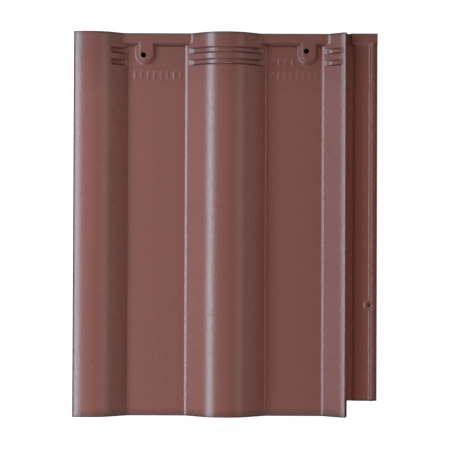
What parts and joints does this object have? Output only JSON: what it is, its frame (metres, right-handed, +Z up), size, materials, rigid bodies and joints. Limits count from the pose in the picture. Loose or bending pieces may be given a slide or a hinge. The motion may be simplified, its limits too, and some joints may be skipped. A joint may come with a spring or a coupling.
{
  "type": "interlocking roof tile",
  "caption": "Rectangular double-roll concrete roof tile with side interlocks, raised head band, nail holes, hanging nibs and tail bars.",
  "frame": {"origin": "bottom centre of the tile's box, on the floor that its nibs and tail bars rest on", "axes": "+X across the tile to the underlock, +Y up the slope to the head, +Z up out of the weathered face"},
  "size_m": [0.332, 0.42, 0.048],
  "materials": {
    "coated_concrete": "satin red-brown coating on concrete"
  },
  "bodies": {
    "root": {"roof_tile": "coated_concrete"}
  },
  "joints": []
}
